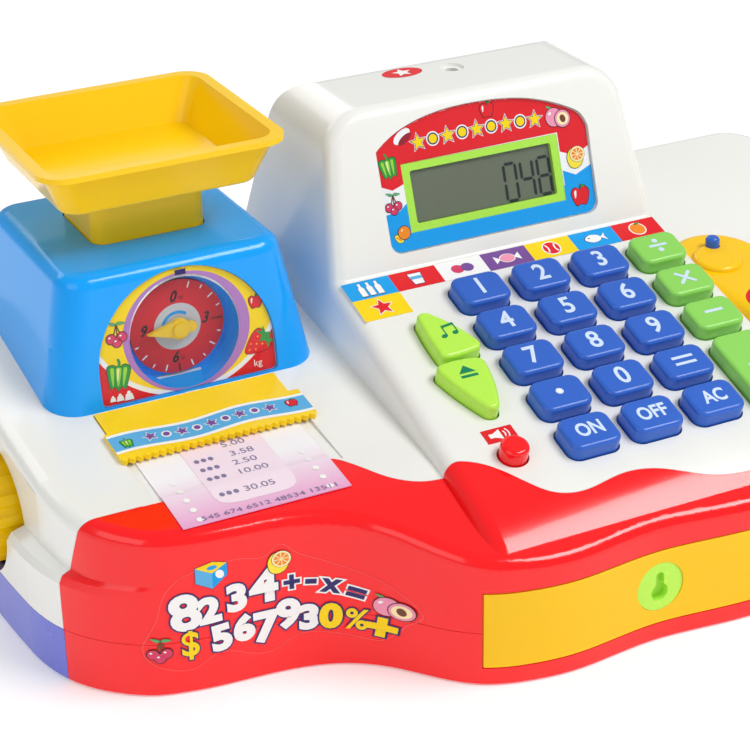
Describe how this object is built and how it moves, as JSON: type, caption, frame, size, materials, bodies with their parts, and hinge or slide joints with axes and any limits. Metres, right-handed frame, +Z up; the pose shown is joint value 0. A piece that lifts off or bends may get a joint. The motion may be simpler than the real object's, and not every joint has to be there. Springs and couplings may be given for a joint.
{
  "type": "toy cash register",
  "caption": "Toy cash register with a sloped key console, a tilted number display, a small pan scale with a dial, a receipt roll and a sliding cash drawer.",
  "frame": {"origin": "on the ground, under the middle of the cash drawer and of the case's depth", "axes": "+X to the right seen from the front, +Y to the back, +Z up"},
  "size_m": [0.3106, 0.1778, 0.1218],
  "materials": {
    "purple_plastic": "satin",
    "red_plastic": "glossy",
    "white_plastic": "glossy",
    "blue_plastic": "glossy",
    "clear_plastic": "clear, polished",
    "printed_card": "printed, satin",
    "red_card": "printed, satin",
    "yellow_plastic": "glossy",
    "pointer_yellow": "glossy",
    "spring_steel": "bright",
    "bar_yellow": "satin",
    "paper": "plain",
    "lime_plastic": "satin",
    "lcd_glass": "satin",
    "sticker": "printed, satin",
    "pod_yellow": "glossy",
    "key_blue": "satin",
    "key_green": "satin",
    "board_green": "satin",
    "grey_rubber": "matt",
    "black_plastic": "matt",
    "cell_steel": "satin",
    "black_rubber": "matt",
    "drawer_yellow": "glossy"
  },
  "bodies": {
    "case": {"base_tray": "purple_plastic", "front_skirt": "red_plastic", "front_fascia": "red_plastic", "top_cover": "white_plastic", "scale_housing": "blue_plastic", "dial_window": "clear_plastic", "dial_card": "printed_card", "dial_face": "red_card", "scale_spring": "spring_steel", "tear_bar": "bar_yellow", "receipt_paper": "paper", "display_window": "clear_plastic", "display_card": "printed_card", "display_bezel": "lime_plastic", "lcd_panel": "lcd_glass", "label_strip": "sticker", "scanner_pod": "pod_yellow", "circuit_board": "board_green", "key_mat": "grey_rubber", "speaker": "black_plastic", "microphone": "black_plastic", "battery_cells": "cell_steel", "battery_contacts": "spring_steel", "battery_door": "purple_plastic", "case_screws": "spring_steel", "rubber_feet": "black_rubber"},
    "key_1_body": {"key_1": "key_blue"},
    "key_2_body": {"key_2": "key_blue"},
    "key_3_body": {"key_3": "key_blue"},
    "key_4_body": {"key_4": "key_blue"},
    "key_5_body": {"key_5": "key_blue"},
    "key_6_body": {"key_6": "key_blue"},
    "key_7_body": {"key_7": "key_blue"},
    "key_8_body": {"key_8": "key_blue"},
    "key_9_body": {"key_9": "key_blue"},
    "key_dot_body": {"key_dot": "key_blue"},
    "key_0_body": {"key_0": "key_blue"},
    "key_equals_body": {"key_equals": "key_blue"},
    "key_on_body": {"key_on": "key_blue"},
    "key_off_body": {"key_off": "key_blue"},
    "key_ac_body": {"key_ac": "key_blue"},
    "key_divide_body": {"key_divide": "key_green"},
    "key_times_body": {"key_times": "key_green"},
    "key_minus_body": {"key_minus": "key_green"},
    "key_plus_body": {"key_plus": "key_green"},
    "key_sound_body": {"key_sound": "lime_plastic"},
    "key_open_body": {"key_open": "lime_plastic"},
    "key_mic_body": {"key_mic": "red_plastic"},
    "drawer": {"cash_drawer": "drawer_yellow"},
    "lock": {"drawer_lock": "lime_plastic"},
    "tray": {"scale_tray": "yellow_plastic"},
    "pointer": {"dial_pointer": "pointer_yellow"},
    "paper_feed": {"paper_knob": "yellow_plastic", "paper_spindle": "white_plastic", "paper_roll": "paper"},
    "pod_peg": {"pod_button": "key_blue"}
  },
  "joints": [
    {"name": "key_1_press", "type": "slide", "parent": "case", "child": "key_1_body", "axis": [0, 0.2957, -0.9553], "range_m": [0, 0.002], "stiffness_N_per_m": 300},
    {"name": "key_2_press", "type": "slide", "parent": "case", "child": "key_2_body", "axis": [0, 0.2957, -0.9553], "range_m": [0, 0.002], "stiffness_N_per_m": 300},
    {"name": "key_3_press", "type": "slide", "parent": "case", "child": "key_3_body", "axis": [0, 0.2957, -0.9553], "range_m": [0, 0.002], "stiffness_N_per_m": 300},
    {"name": "key_4_press", "type": "slide", "parent": "case", "child": "key_4_body", "axis": [0, 0.2957, -0.9553], "range_m": [0, 0.002], "stiffness_N_per_m": 300},
    {"name": "key_5_press", "type": "slide", "parent": "case", "child": "key_5_body", "axis": [0, 0.2957, -0.9553], "range_m": [0, 0.002], "stiffness_N_per_m": 300},
    {"name": "key_6_press", "type": "slide", "parent": "case", "child": "key_6_body", "axis": [0, 0.2957, -0.9553], "range_m": [0, 0.002], "stiffness_N_per_m": 300},
    {"name": "key_7_press", "type": "slide", "parent": "case", "child": "key_7_body", "axis": [0, 0.2957, -0.9553], "range_m": [0, 0.002], "stiffness_N_per_m": 300},
    {"name": "key_8_press", "type": "slide", "parent": "case", "child": "key_8_body", "axis": [0, 0.2957, -0.9553], "range_m": [0, 0.002], "stiffness_N_per_m": 300},
    {"name": "key_9_press", "type": "slide", "parent": "case", "child": "key_9_body", "axis": [0, 0.2957, -0.9553], "range_m": [0, 0.002], "stiffness_N_per_m": 300},
    {"name": "key_dot_press", "type": "slide", "parent": "case", "child": "key_dot_body", "axis": [0, 0.2957, -0.9553], "range_m": [0, 0.002], "stiffness_N_per_m": 300},
    {"name": "key_0_press", "type": "slide", "parent": "case", "child": "key_0_body", "axis": [0, 0.2957, -0.9553], "range_m": [0, 0.002], "stiffness_N_per_m": 300},
    {"name": "key_equals_press", "type": "slide", "parent": "case", "child": "key_equals_body", "axis": [0, 0.2957, -0.9553], "range_m": [0, 0.002], "stiffness_N_per_m": 300},
    {"name": "key_on_press", "type": "slide", "parent": "case", "child": "key_on_body", "axis": [0, 0.2957, -0.9553], "range_m": [0, 0.002], "stiffness_N_per_m": 300},
    {"name": "key_off_press", "type": "slide", "parent": "case", "child": "key_off_body", "axis": [0, 0.2957, -0.9553], "range_m": [0, 0.002], "stiffness_N_per_m": 300},
    {"name": "key_ac_press", "type": "slide", "parent": "case", "child": "key_ac_body", "axis": [0, 0.2957, -0.9553], "range_m": [0, 0.002], "stiffness_N_per_m": 300},
    {"name": "key_divide_press", "type": "slide", "parent": "case", "child": "key_divide_body", "axis": [0, 0.2957, -0.9553], "range_m": [0, 0.002], "stiffness_N_per_m": 300},
    {"name": "key_times_press", "type": "slide", "parent": "case", "child": "key_times_body", "axis": [0, 0.2957, -0.9553], "range_m": [0, 0.002], "stiffness_N_per_m": 300},
    {"name": "key_minus_press", "type": "slide", "parent": "case", "child": "key_minus_body", "axis": [0, 0.2957, -0.9553], "range_m": [0, 0.002], "stiffness_N_per_m": 300},
    {"name": "key_plus_press", "type": "slide", "parent": "case", "child": "key_plus_body", "axis": [0, 0.2957, -0.9553], "range_m": [0, 0.002], "stiffness_N_per_m": 300},
    {"name": "key_sound_press", "type": "slide", "parent": "case", "child": "key_sound_body", "axis": [0, 0.2957, -0.9553], "range_m": [0, 0.002], "stiffness_N_per_m": 300},
    {"name": "key_open_press", "type": "slide", "parent": "case", "child": "key_open_body", "axis": [0, 0.2957, -0.9553], "range_m": [0, 0.002], "stiffness_N_per_m": 300},
    {"name": "key_mic_press", "type": "slide", "parent": "case", "child": "key_mic_body", "axis": [0, 0.2957, -0.9553], "range_m": [0, 0.002], "stiffness_N_per_m": 300},
    {"name": "pod_button_press", "type": "slide", "parent": "case", "child": "pod_peg", "axis": [0, 0, -1], "range_m": [0, 0.0015], "stiffness_N_per_m": 300},
    {"name": "drawer_slide", "type": "slide", "parent": "case", "child": "drawer", "axis": [0, -1, 0], "range_m": [0, 0.07]},
    {"name": "lock_turn", "type": "hinge", "parent": "drawer", "child": "lock", "pos_m": [0, -0.0845, 0.017], "axis": [0, 1, 0], "range_deg": [0, 90]},
    {"name": "tray_press", "type": "slide", "parent": "case", "child": "tray", "axis": [0, 0, -1], "range_m": [0, 0.008], "stiffness_N_per_m": 250, "deforming": ["scale_spring"]},
    {"name": "pointer_turn", "type": "hinge", "parent": "case", "child": "pointer", "pos_m": [-0.0923, 0.0184, 0.0713], "axis": [0, 1, 0], "range_deg": [0, 77]},
    {"name": "paper_feed_turn", "type": "hinge", "parent": "case", "child": "paper_feed", "pos_m": [-0.1404, 0.015, 0.031], "axis": [1, 0, 0], "continuous": true}
  ],
  "couplings": [
    {"joint": "pointer_turn", "follows": "tray_press", "rad_per_m": 166.67}
  ]
}
